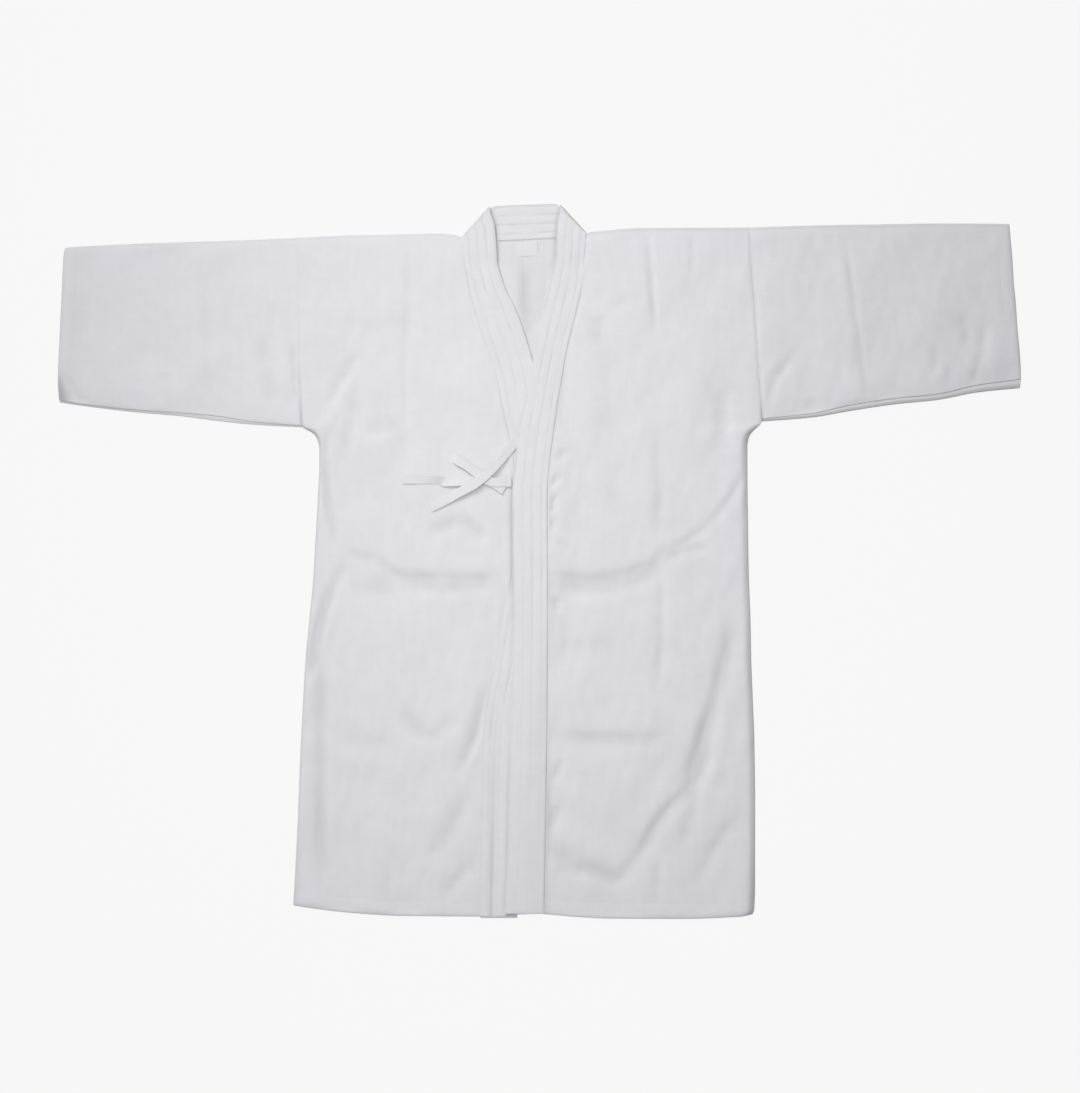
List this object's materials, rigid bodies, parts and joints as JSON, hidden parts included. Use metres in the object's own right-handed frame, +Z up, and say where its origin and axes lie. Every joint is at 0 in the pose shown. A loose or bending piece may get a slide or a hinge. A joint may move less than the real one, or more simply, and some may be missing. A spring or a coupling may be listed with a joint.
{
  "type": "kendo jacket",
  "caption": "Hip-length cotton training jacket laid flat and closed, with straight wide sleeves, a plain collar band that crosses left over right, and a tied bow at the chest.",
  "frame": {"origin": "on the surface the jacket lies on, below the middle of its bounding box", "axes": "+X towards the wearer's left cuff, +Y towards the collar, +Z up through the front of the jacket"},
  "size_m": [1.2529, 0.9301, 0.0135],
  "materials": {
    "body_cotton": "matt white woven cotton, faintly cool in tint, one layer",
    "band_cotton": "the same matt white cotton folded into a stitched band",
    "tie_tape": "flat matt white cotton strip, folded and stitched",
    "label_cloth": "plain blank white woven label, smoother than the cotton"
  },
  "bodies": {
    "root": {"body_right": "body_cotton", "body_left": "body_cotton", "sleeve_right": "body_cotton", "sleeve_left": "body_cotton", "collar_band": "band_cotton", "tie_left": "tie_tape", "tie_right": "tie_tape", "neck_label": "label_cloth"}
  },
  "joints": []
}
